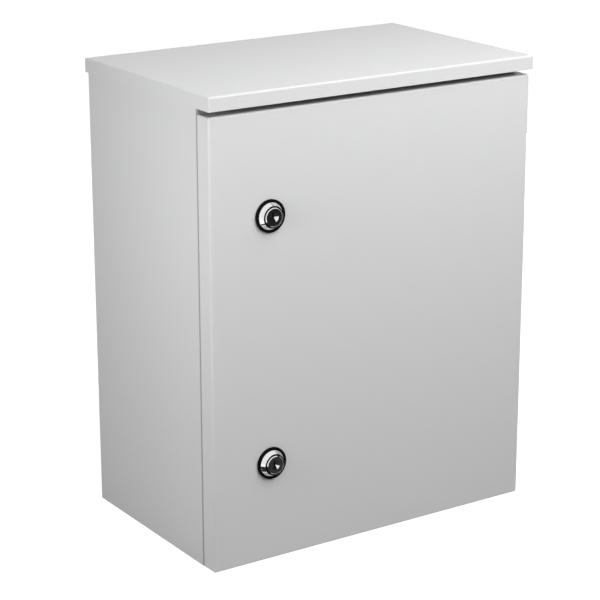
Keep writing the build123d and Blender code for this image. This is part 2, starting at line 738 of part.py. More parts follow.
# Key locks: each has a rubber ring, a turned housing with a bevelled head, a nut inside the door,
# a plug that the key turns, and a cam that swings behind the body's left return. The plug's head
# stands in a well in the housing's tip
plug_back_y = cam_front_y - seat_gap
housing_back_y = plug_back_y - seat_gap
well_floor_y = bezel_tip_y + plug_head_depth
cam_reach = lock_x + lip_x + cam_overlap
for place, lock_z in lock_heights.items():
    lock_axis = Axis((lock_x, 0, lock_z), (0, 1, 0))

    with BuildPart() as lock_ring:
        with BuildSketch(upright(face_y)):
            with Locations((lock_x, lock_z)):
                Circle(lock_ring_radius)
                Circle(barrel_radius + barrel_air, mode=Mode.SUBTRACT)
        extrude(amount=lock_ring_thickness)
        fillet(lock_ring.edges().group_by(Axis.Y)[0].sort_by(SortBy.LENGTH)[-1], radius=lock_ring_edge)
    save(lock_ring, f"{place}_lock_ring")

    with BuildPart() as lock_housing:
        with BuildSketch(Plane.YZ.offset(lock_x)):
            with BuildLine():
                Polyline(
                    (bezel_tip_y, lock_z + well_radius),
                    (bezel_tip_y, lock_z + bezel_tip_radius),
                    (bezel_seat_y - bezel_rim, lock_z + bezel_radius),
                    (bezel_seat_y, lock_z + bezel_radius),
                    (bezel_seat_y, lock_z + barrel_radius),
                    (housing_back_y, lock_z + barrel_radius),
                    (housing_back_y, lock_z + plug_radius + running_fit),
                    (well_floor_y, lock_z + plug_radius + running_fit),
                    (well_floor_y, lock_z + well_radius),
                    close=True,
                )
            make_face()
        revolve(axis=lock_axis)
        with BuildSketch(upright(housing_back_y)):
            with Locations((lock_x, lock_z)):
                Circle(barrel_radius + barrel_air)
                Rectangle(2 * lock_ring_radius, 2 * barrel_flat, mode=Mode.SUBTRACT)
        extrude(amount=housing_back_y - bezel_seat_y, mode=Mode.SUBTRACT)
    save(lock_housing, f"{place}_lock_housing")

    with BuildPart() as lock_nut:
        with BuildSketch(upright(door_inside_y + seat_gap + lock_nut_height)):
            with Locations((lock_x, lock_z)):
                RegularPolygon(lock_nut_flats / 2, 6, major_radius=False)
                Circle(barrel_radius + seat_gap, mode=Mode.SUBTRACT)
        extrude(amount=lock_nut_height)
    save(lock_nut, f"{place}_lock_nut")

    with BuildPart() as lock_plug:
        with BuildSketch(Plane.YZ.offset(lock_x)):
            with BuildLine():
                Polyline(
                    (plug_face_y, lock_z),
                    (plug_face_y, lock_z + plug_head_radius - plug_chamfer),
                    (bezel_tip_y, lock_z + plug_head_radius),
                    (well_floor_y - seat_gap, lock_z + plug_head_radius),
                    (well_floor_y - seat_gap, lock_z + plug_radius),
                    (plug_back_y, lock_z + plug_radius),
                    (plug_back_y, lock_z),
                    close=True,
                )
            make_face()
        revolve(axis=lock_axis)
        with BuildSketch(upright(plug_back_y)):
            with Locations((lock_x, lock_z)):
                Rectangle(shank_width, shank_width)
        extrude(amount=-(cam_back_y - plug_back_y - seat_gap))
        with BuildSketch(upright(plug_face_y)):
            with Locations((lock_x, lock_z)):
                Rectangle(keyway_width, keyway_length, rotation=keyway_lean)
        extrude(amount=-keyway_depth, mode=Mode.SUBTRACT)
        with BuildSketch(upright(cam_back_y)):
            with Locations((lock_x, lock_z)):
                Circle(cam_screw_radius + seat_gap)
        extrude(amount=cam_screw_length, mode=Mode.SUBTRACT)
    save(lock_plug, f"{place}_lock_plug")

    # At rest the cam hangs down, clear of the return, so that the door is free
    with BuildPart() as lock_cam:
        with BuildSketch(upright(cam_back_y)) as cam_outline:
            with Locations((lock_x, lock_z)):
                Rectangle(cam_width, cam_reach, align=(Align.CENTER, Align.MAX))
            fillet(cam_outline.vertices().group_by(Axis.Z)[0], radius=cam_tip_corner)
            with Locations((lock_x, lock_z)):
                Circle(cam_hub_radius)
                Rectangle(shank_width + 2 * shank_air, shank_width + 2 * shank_air, mode=Mode.SUBTRACT)
        extrude(amount=cam_thickness)
    save(lock_cam, f"{place}_lock_cam")

    with BuildPart() as cam_washer:
        with BuildSketch(upright(cam_washer_back_y)):
            with Locations((lock_x, lock_z)):
                Circle(cam_washer_radius)
                Circle(cam_screw_radius + seat_gap, mode=Mode.SUBTRACT)
        extrude(amount=cam_washer_thickness)
    save(cam_washer, f"{place}_cam_washer")

    with BuildPart() as cam_screw:
        with BuildSketch(upright(cam_washer_back_y)):
            with Locations((lock_x, lock_z)):
                Circle(cam_screw_head_radius)
        extrude(amount=-cam_screw_head_height)
        with BuildSketch(upright(cam_washer_back_y + cam_screw_head_height)):
            with Locations((lock_x, lock_z)):
                RegularPolygon(socket_flats / 2, 6, major_radius=False)
        extrude(amount=socket_depth, mode=Mode.SUBTRACT)
        with BuildSketch(upright(cam_washer_back_y)):
            with Locations((lock_x, lock_z)):
                Circle(cam_screw_radius)
        extrude(amount=cam_screw_length)
    save(cam_screw, f"{place}_cam_screw")
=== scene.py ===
import math

import bpy
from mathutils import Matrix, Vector


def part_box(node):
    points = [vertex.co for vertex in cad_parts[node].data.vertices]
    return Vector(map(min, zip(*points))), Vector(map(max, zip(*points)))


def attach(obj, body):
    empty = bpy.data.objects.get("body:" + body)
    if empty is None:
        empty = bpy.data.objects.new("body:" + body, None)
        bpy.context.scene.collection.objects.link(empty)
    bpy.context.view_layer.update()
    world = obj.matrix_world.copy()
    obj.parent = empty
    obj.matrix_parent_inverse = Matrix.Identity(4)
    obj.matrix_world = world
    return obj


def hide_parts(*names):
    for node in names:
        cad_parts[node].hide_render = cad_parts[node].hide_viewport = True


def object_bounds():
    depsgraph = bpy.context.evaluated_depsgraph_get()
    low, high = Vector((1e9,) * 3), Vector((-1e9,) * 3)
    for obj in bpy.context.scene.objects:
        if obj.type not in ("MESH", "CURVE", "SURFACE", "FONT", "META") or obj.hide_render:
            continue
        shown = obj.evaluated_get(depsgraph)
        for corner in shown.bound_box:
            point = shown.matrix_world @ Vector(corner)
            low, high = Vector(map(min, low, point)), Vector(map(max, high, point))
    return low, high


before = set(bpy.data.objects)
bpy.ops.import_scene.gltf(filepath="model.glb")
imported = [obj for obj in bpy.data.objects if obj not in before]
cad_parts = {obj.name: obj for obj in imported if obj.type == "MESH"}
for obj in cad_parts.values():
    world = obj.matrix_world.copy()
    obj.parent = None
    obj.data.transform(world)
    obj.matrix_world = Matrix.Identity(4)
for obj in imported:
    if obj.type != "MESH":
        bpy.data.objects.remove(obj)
cad_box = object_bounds()

# Body: a wrap of two sides and the back, with a top and a bottom welded in. It is cold-rolled steel
# sheet, folded, welded at the mitred corners and powder-coated light grey as one piece.
paint_grey = (0.600, 0.602, 0.603, 1.0)
paint_roughness = 0.38
gloss_change = 0.03
gloss_scale = 90.0
orange_peel_scale = 420.0
orange_peel_depth = 0.00002


def new_material(name):
    """A material with its shader, and the coordinates that its patterns read."""
    material = bpy.data.materials.new(name)
    material.use_nodes = True
    tree = material.node_tree
    shader = tree.nodes["Principled BSDF"]
    place = tree.nodes.new("ShaderNodeTexCoord")
    return material, tree, shader, place.outputs["Object"]


def add_noise(tree, place, scale, detail):
    """A noise pattern of the given size on the piece."""
    noise = tree.nodes.new("ShaderNodeTexNoise")
    noise.inputs["Scale"].default_value = scale
    noise.inputs["Detail"].default_value = detail
    tree.links.new(place, noise.inputs["Vector"])
    return noise.outputs["Fac"]


def add_relief(tree, shader, height, depth):
    """Fine relief on the surface, as high as depth."""
    relief = tree.nodes.new("ShaderNodeBump")
    relief.inputs["Strength"].default_value = 1.0
    relief.inputs["Distance"].default_value = depth
    tree.links.new(height, relief.inputs["Height"])
    tree.links.new(relief.outputs["Normal"], shader.inputs["Normal"])


def add_shades(tree, pattern, dark, light, socket):
    """A colour that goes from dark to light with the pattern."""
    shades = tree.nodes.new("ShaderNodeValToRGB")
    shades.color_ramp.elements[0].position = 0.3
    shades.color_ramp.elements[1].position = 0.7
    shades.color_ramp.elements[0].color = dark
    shades.color_ramp.elements[1].color = light
    tree.links.new(pattern, shades.inputs["Fac"])
    tree.links.new(shades.outputs["Color"], socket)


def add_range(tree, pattern, low, high, socket, start=0.0, end=1.0):
    """A number that goes from low to high while the pattern goes from start to end."""
    span = tree.nodes.new("ShaderNodeMapRange")
    span.inputs["From Min"].default_value = start
    span.inputs["From Max"].default_value = end
    span.inputs["To Min"].default_value = low
    span.inputs["To Max"].default_value = high
    tree.links.new(pattern, span.inputs["Value"])
    tree.links.new(span.outputs["Result"], socket)


def add_zone(tree, place, limits):
    """A number that is one in a zone of the piece and nought outside it. Each limit is an axis,
    the place on it where the zone begins, and the place from which it is full. X counts from the
    middle to both sides."""
    axes = tree.nodes.new("ShaderNodeSeparateXYZ")
    tree.links.new(place, axes.inputs["Vector"])
    from_middle = tree.nodes.new("ShaderNodeMath")
    from_middle.operation = "ABSOLUTE"
    tree.links.new(axes.outputs["X"], from_middle.inputs[0])
    ways = {"X": from_middle.outputs["Value"], "Y": axes.outputs["Y"], "Z": axes.outputs["Z"]}
    zone = None
    for way, begins, full in limits:
        within = tree.nodes.new("ShaderNodeMath")
        within.operation = "MULTIPLY"
        within.inputs[1].default_value = 1.0
        add_range(tree, ways[way], 0.0, 1.0, within.inputs[0], begins, full)
        if zone:
            tree.links.new(zone, within.inputs[1])
        zone = within.outputs["Value"]
    return zone


def new_powder_coat(name):
    """A powder-coat material, with its shader and coordinates."""
    material, tree, shader, place = new_material(name)
    shader.inputs["Base Color"].default_value = paint_grey
    add_range(tree, add_noise(tree, place, gloss_scale, 2.0), paint_roughness - gloss_change,
              paint_roughness + gloss_change, shader.inputs["Roughness"])
    add_relief(tree, shader, add_noise(tree, place, orange_peel_scale, 3.0), orange_peel_depth)
    return material, tree, shader, place


def finish_node(name, material):
    """Give a CAD node its finish."""
    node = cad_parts[name]
    node.data.materials.clear()
    node.data.materials.append(material)


# Painted shade: the coat is painted darker on the wrap's front bends, in the narrow seam behind the
# door, where the door's edge shades them
seam_shade_grey = (0.330, 0.331, 0.332, 1.0)
seam_width = 0.0023
bend_size = 0.0027
bend_fade = 0.0006
bend_share = 0.55
seam_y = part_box("door")[1].y + seam_width
bend_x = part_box("body_wrap")[1].x - bend_size
powder_coat = new_powder_coat("powder_coat")[0]
body_coat, tree, shader, place = new_powder_coat("body_coat")
painted_seam_shade = add_zone(tree, place, [("X", bend_x - bend_fade, bend_x),
                                 ("Y", seam_y + bend_size, seam_y + bend_share * bend_size)])
add_shades(tree, painted_seam_shade, paint_grey, seam_shade_grey, shader.inputs["Base Color"])

finish_node("body_wrap", body_coat)
for name in ("body_top", "body_bottom"):
    finish_node(name, powder_coat)

# Rain roof: a folded cap in the same finish, on four welded M6 studs. Each stud passes through a
# rubber washer into the body's top and takes a flanged nut from inside.
round_steps = 48
stud_radius = 0.003
stud_pitch = 0.001
nut_flats = 0.010
nut_height = 0.006
nut_collar_radius = 0.0066
nut_collar_height = 0.0014
# A thread's depth and the chamfer at its end, in pitches
thread_depth = 0.6
thread_chamfer = 0.8
# The air between a thread and its nut, the nut's chamfers, and how far a cutter goes past
thread_air = 0.00005
bore_chamfer = 0.0006
corner_chamfer = 0.35
past = 0.0001


def turn_piece(name, base, heading, outline, closed=False, sides=round_steps):
    """A piece turned about the line that starts at base and runs along heading. Its outline is
    points of radius and distance; a closed outline runs round a ring and back to its first
    point."""
    base = Vector(base)
    heading = Vector(heading)
    radius, distance = outline[0]
    bpy.ops.object.select_all(action="DESELECT")
    bpy.ops.mesh.primitive_circle_add(
        vertices=sides, radius=radius, location=base + heading * distance,
        rotation=heading.to_track_quat("Z", "Y").to_euler(),
        fill_type="NOTHING" if closed else "NGON")
    piece = bpy.context.object
    piece.name = name
    bpy.ops.object.transform_apply(location=True, rotation=True, scale=True)
    bpy.ops.object.mode_set(mode="EDIT")
    bpy.ops.mesh.select_all(action="SELECT")
    steps = outline[1:] + outline[:1] if closed else outline[1:]
    for next_radius, next_distance in steps:
        move = {"value": heading * (next_distance - distance)}
        if closed:
            bpy.ops.mesh.extrude_edges_move(TRANSFORM_OT_translate=move)
        else:
            bpy.ops.mesh.extrude_region_move(TRANSFORM_OT_translate=move)
        grow = next_radius / radius
        bpy.ops.transform.resize(
            value=(1.0 if heading.x else grow, 1.0 if heading.y else grow,
                   1.0 if heading.z else grow),
            center_override=base + heading * next_distance)
        radius, distance = next_radius, next_distance
    bpy.ops.mesh.select_all(action="SELECT")
    bpy.ops.mesh.remove_doubles(threshold=0.000001)
    bpy.ops.mesh.normals_make_consistent(inside=False)
    bpy.ops.object.mode_set(mode="OBJECT")
    return piece


def join_pieces(piece, others):
    """Make the others part of the piece."""
    bpy.ops.object.select_all(action="DESELECT")
    for other in others:
        other.select_set(True)
    piece.select_set(True)
    bpy.context.view_layer.objects.active = piece
    bpy.ops.object.join()


def wind_thread(base, heading, radius, start, length, pitch, steps=24):
    """The ridge of a metric thread, to join to a rod whose own radius is the thread's root."""
    base = Vector(base)
    heading = Vector(heading)
    reach = pitch / math.sqrt(3.0)
    along_y = heading.y != 0.0
    centre = base + heading * start + Vector((radius - reach, 0.0, 0.0))
    bpy.ops.object.select_all(action="DESELECT")
    bpy.ops.mesh.primitive_circle_add(
        vertices=3, radius=reach, location=centre,
        rotation=(0.0, 0.0, -math.pi / 2) if along_y else (math.pi / 2, math.pi / 2, 0.0))
    ridge = bpy.context.object
    bpy.ops.object.transform_apply(location=True, rotation=True, scale=True)
    bpy.context.scene.cursor.location = base
    bpy.ops.object.origin_set(type="ORIGIN_CURSOR")
    winding = ridge.modifiers.new("winding", "SCREW")
    winding.axis = "Y" if along_y else "Z"
    winding.angle = math.copysign(2.0 * math.pi, heading.y + heading.z)
    winding.screw_offset = pitch * (heading.y + heading.z)
    winding.iterations = round(length / pitch)
    winding.steps = steps
    winding.render_steps = steps
    bpy.ops.object.modifier_apply(modifier=winding.name)
    bpy.ops.object.transform_apply(location=True, rotation=True, scale=True)
    bpy.ops.object.mode_set(mode="EDIT")
    bpy.ops.mesh.select_all(action="SELECT")
    bpy.ops.mesh.fill_holes(sides=3)
    bpy.ops.mesh.normals_make_consistent(inside=False)
    bpy.ops.object.mode_set(mode="OBJECT")
    return ridge


def smooth(piece):
    """Smooth the round faces of a piece and leave its edges sharp."""
    bpy.ops.object.select_all(action="DESELECT")
    piece.select_set(True)
    bpy.context.view_layer.objects.active = piece
    bpy.ops.object.shade_smooth_by_angle(angle=math.radians(24.0))


def trim(piece, shape, operation):
    """Cut the shape out of the piece, keep what lies inside it or add it, and take it away."""
    cut = piece.modifiers.new("cut", "BOOLEAN")
    cut.operation = operation
    cut.solver = "EXACT"
    cut.object = shape
    bpy.context.view_layer.objects.active = piece
    bpy.ops.object.modifier_apply(modifier=cut.name)
    bpy.data.objects.remove(shape)


def repeat_piece(piece, steps):
    """Copy a piece by each step, and join the copies to it."""
    copies = []
    for step in steps:
        bpy.ops.object.select_all(action="DESELECT")
        piece.select_set(True)
        bpy.context.view_layer.objects.active = piece
        bpy.ops.object.duplicate_move(TRANSFORM_OT_translate={"value": step})
        copies.append(bpy.context.object)
    join_pieces(piece, copies)


def make_stud(name, base, heading, radius, length, pitch, foot=0.0):
    """A threaded stud. A foot is the collar of weld round its root."""
    root = radius - thread_depth * pitch
    chamfer = thread_chamfer * pitch
    outline = [(root, 0.0), (root, length - chamfer), (root - chamfer, length)]
    if foot:
        outline = [(radius + foot, 0.0), (radius + 0.8 * foot, 0.6 * foot),
                   (root, foot)] + outline[1:]
    stud = turn_piece(name, base, heading, outline)
    smooth(stud)
    ridge = wind_thread(base, heading, radius, 1.5 * foot + 0.5 * pitch,
                        length - 1.5 * foot - 1.5 * pitch, pitch)
    join_pieces(stud, [ridge])
    return stud


def make_nut(name, base, heading, radius, flats, height, collar_radius=0.0, collar_height=0.0):
    """A hexagon nut with chamfered corners and a chamfered bore, on a round collar where it has
    one."""
    corner = flats / math.sqrt(3.0)
    bore = radius + thread_air
    nut = turn_piece(name, base, heading, [(corner, 0.5 * collar_height), (corner, height)],
                     sides=6)
    drop = corner_chamfer * (corner - flats / 2)
    turned = turn_piece("turned", base, heading, [
        (flats / 2, 0.0), (corner + drop, drop + collar_height), (corner + drop, height - drop),
        (flats / 2 - drop, height)])
    trim(nut, turned, "INTERSECT")
    if collar_radius:
        collar = turn_piece("collar", base, heading, [
            (collar_radius, 0.0), (collar_radius, 0.5 * collar_height),
            (flats / 2, collar_height + drop)])
        trim(nut, collar, "UNION")
    bored = turn_piece("bored", base, heading, [
        (bore + bore_chamfer, -past), (bore, bore_chamfer), (bore, height - bore_chamfer),
        (bore + bore_chamfer, height + past)])
    trim(nut, bored, "DIFFERENCE")
    smooth(nut)
    return nut


def dress(piece, material, slot, body, *nodes):
    """Give a new piece its finish and the body that it moves with, in place of the CAD nodes."""
    piece.data.materials.clear()
    piece.data.materials.append(material)
    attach(piece, body)
    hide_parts(*nodes)


zinc_plate, tree, shader, place = new_material("zinc_plate")
shader.inputs["Metallic"].default_value = 1.0
add_shades(tree, add_noise(tree, place, 160.0, 4.0), (0.50, 0.51, 0.53, 1.0),
           (0.62, 0.63, 0.65, 1.0), shader.inputs["Base Color"])
add_range(tree, add_noise(tree, place, 420.0, 3.0), 0.24, 0.38, shader.inputs["Roughness"])

rubber_scale = 300.0
rubber_grain_scale = 900.0
rubber_grain_depth = 0.00002
rubber, tree, shader, place = new_material("rubber")
shader.inputs["Base Color"].default_value = (0.004, 0.004, 0.0042, 1.0)
shader.inputs["Specular IOR Level"].default_value = 0.06
add_range(tree, add_noise(tree, place, rubber_scale, 3.0), 0.5, 0.62, shader.inputs["Roughness"])
add_relief(tree, shader, add_noise(tree, place, rubber_grain_scale, 3.0), rubber_grain_depth)

# Painted shade: the coat is painted dark on the inside of the cap, where the cap shades it
cap_shade_grey = (0.120, 0.121, 0.122, 1.0)
half_sheet = 0.0006
inner_skin = 0.0011
cap_low, cap_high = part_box("roof_cap")
roof_coat, tree, shader, place = new_powder_coat("roof_coat")
painted_cap_shade = add_zone(tree, place, [("X", cap_high.x - half_sheet, cap_high.x - inner_skin),
                                ("Y", cap_low.y + half_sheet, cap_low.y + inner_skin),
                                ("Y", cap_high.y - half_sheet, cap_high.y - inner_skin),
                                ("Z", cap_high.z - half_sheet, cap_high.z - inner_skin)])
add_shades(tree, painted_cap_shade, paint_grey, cap_shade_grey, shader.inputs["Base Color"])
finish_node("roof_cap", roof_coat)
finish_node("roof_seal_washers", rubber)

stud_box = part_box("roof_studs")
nut_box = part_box("roof_nuts")
first_stud = (stud_box[0].x + stud_radius, stud_box[0].y + stud_radius, stud_box[1].z)
across = stud_box[1].x - stud_box[0].x - 2 * stud_radius
deep = stud_box[1].y - stud_box[0].y - 2 * stud_radius
other_corners = [(across, 0.0, 0.0), (0.0, deep, 0.0), (across, deep, 0.0)]
roof_stud = make_stud("roof_stud_group", first_stud, (0, 0, -1), stud_radius,
                      stud_box[1].z - stud_box[0].z, stud_pitch)
repeat_piece(roof_stud, other_corners)
dress(roof_stud, zinc_plate, "zinc_plate", "enclosure", "roof_studs")
roof_nut = make_nut("roof_nut_group", (first_stud[0], first_stud[1], nut_box[1].z), (0, 0, -1),
                    stud_radius, nut_flats, nut_height, nut_collar_radius, nut_collar_height)
repeat_piece(roof_nut, other_corners)
dress(roof_nut, zinc_plate, "zinc_plate", "enclosure", "roof_nuts")

# Cable grommets: moulded black rubber, pressed into three holes in the bottom. A thin membrane with
# moulded rings closes each until it is cut for a cable.
grommet_neck = 0.0184
grommet_edge = 0.0219
grommet_bore = 0.0154
grommet_middle = 0.0006
grommet_sides = 72
groove_low = 0.0018
groove_high = 0.0034
groove_slope = 0.0002
collar = 0.0059
membrane = 0.0012
membrane_rings = (0.0042, 0.0078, 0.0114)
ring_rise = 0.0004
lip_edge = 0.0008
bore_edge = 0.0006
tip_edge = 0.0005
moulded_rubber, tree, shader, place = new_material("moulded_rubber")
shader.inputs["Base Color"].default_value = (0.022, 0.022, 0.0225, 1.0)
shader.inputs["Specular IOR Level"].default_value = 0.4
add_range(tree, add_noise(tree, place, rubber_scale, 3.0), 0.42, 0.55, shader.inputs["Roughness"])
add_relief(tree, shader, add_noise(tree, place, rubber_grain_scale, 3.0), rubber_grain_depth)
for place_name in ("left", "middle", "right"):
    node = f"{place_name}_cable_grommet"
    low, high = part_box(node)
    base = ((low.x + high.x) / 2, (low.y + high.y) / 2, low.z)
    tip = high.z - low.z
    outline = [(grommet_middle, collar)]
    for ring_radius in membrane_rings:
        outline += [(ring_radius, collar), (ring_radius + ring_rise, collar + ring_rise),
                    (ring_radius + 2 * ring_rise, collar)]
    outline += [
        (grommet_bore - bore_edge, collar), (grommet_bore, collar - bore_edge),
        (grommet_bore, 0.0004), (grommet_bore + bore_edge, 0.0), (grommet_edge - lip_edge, 0.0),
        (grommet_edge, lip_edge), (grommet_edge, groove_low - groove_slope),
        (grommet_neck, groove_low), (grommet_neck, groove_high),
        (grommet_edge, groove_high + groove_slope), (grommet_edge, collar - lip_edge),
        (grommet_edge - bore_edge, collar), (grommet_neck, tip - tip_edge),
        (grommet_neck - bore_edge, tip), (grommet_bore + tip_edge, tip),
        (grommet_bore, tip - tip_edge), (grommet_bore, collar + membrane + bore_edge),
        (grommet_bore - bore_edge, collar + membrane)]
    for ring_radius in reversed(membrane_rings):
        outline += [(ring_radius + 2 * ring_rise, collar + membrane),
                    (ring_radius + ring_rise, collar + membrane + ring_rise),
                    (ring_radius, collar + membrane)]
    outline += [(grommet_middle, collar + membrane)]
    grommet = turn_piece(f"{place_name}_grommet", base, (0, 0, 1), outline, sides=grommet_sides)
    smooth(grommet)
    dress(grommet, moulded_rubber, "black_rubber", "enclosure", node)

# Mounting plate: hot-dip galvanised sheet with two folded edges, on four welded M8 studs with tube
# spacers, washers and nuts.
plate_stud_radius = 0.004
plate_stud_pitch = 0.00125
plate_nut_flats = 0.013
spangle_scale = 140.0
galvanised, tree, shader, place = new_material("galvanised")
shader.inputs["Metallic"].default_value = 1.0
spangle = tree.nodes.new("ShaderNodeTexVoronoi")
spangle.inputs["Scale"].default_value = spangle_scale
tree.links.new(place, spangle.inputs["Vector"])
add_shades(tree, spangle.outputs["Color"], (0.52, 0.54, 0.56, 1.0), (0.61, 0.63, 0.65, 1.0),
           shader.inputs["Base Color"])
add_range(tree, spangle.outputs["Color"], 0.32, 0.5, shader.inputs["Roughness"])
finish_node("mounting_plate", galvanised)
finish_node("plate_spacers", zinc_plate)
finish_node("plate_washers", zinc_plate)

stud_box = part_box("plate_studs")
nut_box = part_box("plate_nuts")
first_stud = (stud_box[0].x + plate_stud_radius, stud_box[1].y, stud_box[0].z + plate_stud_radius)
across = stud_box[1].x - stud_box[0].x - 2 * plate_stud_radius
tall = stud_box[1].z - stud_box[0].z - 2 * plate_stud_radius
other_corners = [(across, 0.0, 0.0), (0.0, 0.0, tall), (across, 0.0, tall)]
plate_stud = make_stud("plate_stud_group", first_stud, (0, -1, 0), plate_stud_radius,
                       stud_box[1].y - stud_box[0].y, plate_stud_pitch)
repeat_piece(plate_stud, other_corners)
dress(plate_stud, zinc_plate, "zinc_plate", "enclosure", "plate_studs")
plate_nut = make_nut("plate_nut_group", (first_stud[0], nut_box[1].y, first_stud[2]), (0, -1, 0),
                     plate_stud_radius, plate_nut_flats, nut_box[1].y - nut_box[0].y)
repeat_piece(plate_nut, other_corners)
dress(plate_nut, zinc_plate, "zinc_plate", "enclosure", "plate_nuts")

# Earth studs: zinc-plated M6 steel, welded to the body's back and to the inside of the door. Each
# carries a flanged nut that clamps the earth wire.
weld_foot = 0.0006
for body, inward, end in (("enclosure", (0, -1, 0), 1), ("door", (0, 1, 0), 0)):
    holder = "body" if body == "enclosure" else "door"
    stud_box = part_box(f"{holder}_earth_stud")
    nut_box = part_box(f"{holder}_earth_nut")
    stud_x = (stud_box[0].x + stud_box[1].x) / 2
    stud_z = (stud_box[0].z + stud_box[1].z) / 2
    earth_stud = make_stud(f"{holder}_threaded_stud", (stud_x, stud_box[end].y, stud_z), inward,
                           stud_radius, stud_box[1].y - stud_box[0].y, stud_pitch, weld_foot)
    dress(earth_stud, zinc_plate, "zinc_plate", body, f"{holder}_earth_stud")
    earth_nut = make_nut(f"{holder}_flanged_nut", (stud_x, nut_box[end].y, stud_z), inward,
                         stud_radius, nut_flats, nut_height, nut_collar_radius,
                         nut_collar_height)
    dress(earth_nut, zinc_plate, "zinc_plate", body, f"{holder}_earth_nut")

# Door: a folded pan in the same finish as the body. Its seal is a ring of black polyurethane,
# foamed in place on the inside.
foam_cell_scale = 1600.0
foam_relief = 0.00015
finish_node("door", powder_coat)

seal_foam, tree, shader, place = new_material("seal_foam")
shader.inputs["Base Color"].default_value = (0.02, 0.02, 0.021, 1.0)
shader.inputs["Roughness"].default_value = 0.85
cells = tree.nodes.new("ShaderNodeTexVoronoi")
cells.inputs["Scale"].default_value = foam_cell_scale
tree.links.new(place, cells.inputs["Vector"])
add_relief(tree, shader, cells.outputs["Distance"], foam_relief)
finish_node("door_gasket", seal_foam)

# Hinges: painted brackets on the body and painted lugs welded into the door, joined by zinc-plated
# pins with spring clips. Small domed screws and nuts hold the brackets.
screw_radius = 0.002
screw_pitch = 0.0007
screw_head_radius = 0.0037
screw_head_height = 0.0024
screw_dome = [(0.0019, 0.0), (0.0029, 0.0004), (0.0035, 0.0012), (screw_head_radius, 0.0021)]
screw_end_chamfer = 0.0004
screw_neck = 0.002
screw_thread_steps = 16
socket_flats = 0.003
socket_depth = 0.0015
socket_bottom = (0.0003, 0.0019)
hinge_nut_flats = 0.007
for place_name in ("upper", "lower"):
    finish_node(f"{place_name}_hinge_bracket", powder_coat)
    finish_node(f"{place_name}_hinge_top_lug", powder_coat)
    finish_node(f"{place_name}_hinge_bottom_lug", powder_coat)
    finish_node(f"{place_name}_hinge_pin", zinc_plate)
    finish_node(f"{place_name}_hinge_clip", zinc_plate)

screw_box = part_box("hinge_screws")
nut_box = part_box("hinge_nuts")
upper_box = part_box("upper_hinge_bracket")
screw_x = (screw_box[0].x + screw_box[1].x) / 2
screw_z = screw_box[1].z - screw_head_radius
head = (screw_x, screw_box[0].y, screw_z)
pair = 2 * (screw_z - (upper_box[0].z + upper_box[1].z) / 2)
drop = screw_box[1].z - screw_box[0].z - 2 * screw_head_radius
others = [(0.0, 0.0, -pair), (0.0, 0.0, -drop), (0.0, 0.0, pair - drop)]
screw_length = screw_box[1].y - screw_box[0].y
root = screw_radius - thread_depth * screw_pitch
hinge_screw = turn_piece("hinge_screw_group", head, (0, 1, 0), screw_dome + [
    (screw_head_radius, screw_head_height), (root, screw_head_height),
    (root, screw_length - screw_end_chamfer), (root - screw_end_chamfer, screw_length)])
socket_corner = socket_flats / math.sqrt(3.0)
socket = turn_piece("socket", head, (0, 1, 0), [
    (socket_corner, -past), (socket_corner, socket_depth), socket_bottom], sides=6)
trim(hinge_screw, socket, "DIFFERENCE")
smooth(hinge_screw)
ridge = wind_thread(head, (0, 1, 0), screw_radius, screw_head_height + screw_neck,
                    screw_length - screw_head_height - 1.4 * screw_neck, screw_pitch,
                    screw_thread_steps)
join_pieces(hinge_screw, [ridge])
repeat_piece(hinge_screw, others)
dress(hinge_screw, zinc_plate, "zinc_plate", "enclosure", "hinge_screws")
hinge_nut = make_nut("hinge_nut_group", (screw_x, nut_box[0].y, screw_z), (0, 1, 0), screw_radius,
                     hinge_nut_flats, nut_box[1].y - nut_box[0].y)
repeat_piece(hinge_nut, others)
dress(hinge_nut, zinc_plate, "zinc_plate", "enclosure", "hinge_nuts")

# Key locks: a turned, chrome-plated housing on a rubber ring, its threaded barrel clamped by a nut
# from inside. The plug's head stands in a well in the housing, with a dished keyhole in its face.
chrome, tree, shader, place = new_material("chrome")
shader.inputs["Base Color"].default_value = (0.80, 0.80, 0.80, 1.0)
shader.inputs["Metallic"].default_value = 1.0
add_range(tree, add_noise(tree, place, 500.0, 2.0), 0.05, 0.09, shader.inputs["Roughness"])

# Painted shade: a near-black for the deep faces of the housing's well and of the keyhole, where
# shade falls
painted_gap_shade, tree, shader, place = new_material("painted_gap_shade")
shader.inputs["Specular IOR Level"].default_value = 0.1
shader.inputs["Roughness"].default_value = 0.6
add_shades(tree, add_noise(tree, place, 900.0, 3.0), (0.002, 0.002, 0.002, 1.0),
           (0.006, 0.006, 0.006, 1.0), shader.inputs["Base Color"])

lock_round = 96
outward = (0, -1, 0)
# Ring: its bore, and the rounding of its front and back edges
ring_radius = 0.0172
ring_bore = 0.0112
ring_front_edge = 0.0006
ring_front_round = 0.00018
ring_back_edge = 0.0002
# Housing: the bezel with its low rim and its lip, the well, the barrel and the plug's bore
bezel_radius = 0.0144
bezel_rim = 0.0003
bezel_lip = 0.0006
well_radius = 0.0110
well_depth = 0.0030
barrel_radius = 0.0110
barrel_flat = 0.0099
barrel_pitch = 0.001
flat_cutter_width = 0.04
flat_cutter_depth = 0.008
bore_radius = 0.00755
lock_nut_flats = 0.027
# Plug: the turned head, the dish and the keyhole in its face, and the square shank
plug_radius = 0.0075
plug_head_radius = 0.00985
plug_chamfer = 0.00075
plug_air = 0.00005
keyhole_lean = math.radians(-13.0)
keyhole_width = 0.0015
keyhole_length = 0.0105
keyhole_depth = 0.008
dish_radius = 0.0052
dish_depth = 0.0019
dish_floor = 0.0012
shank_width = 0.008
shank_edge = 0.0003
shank_overlap = 0.0002
# Edges that are only just broken, in rubber and in metal, and the place of a face to this exactness
fine_edge = 0.0001
metal_edge = 0.00008
near = 0.00002


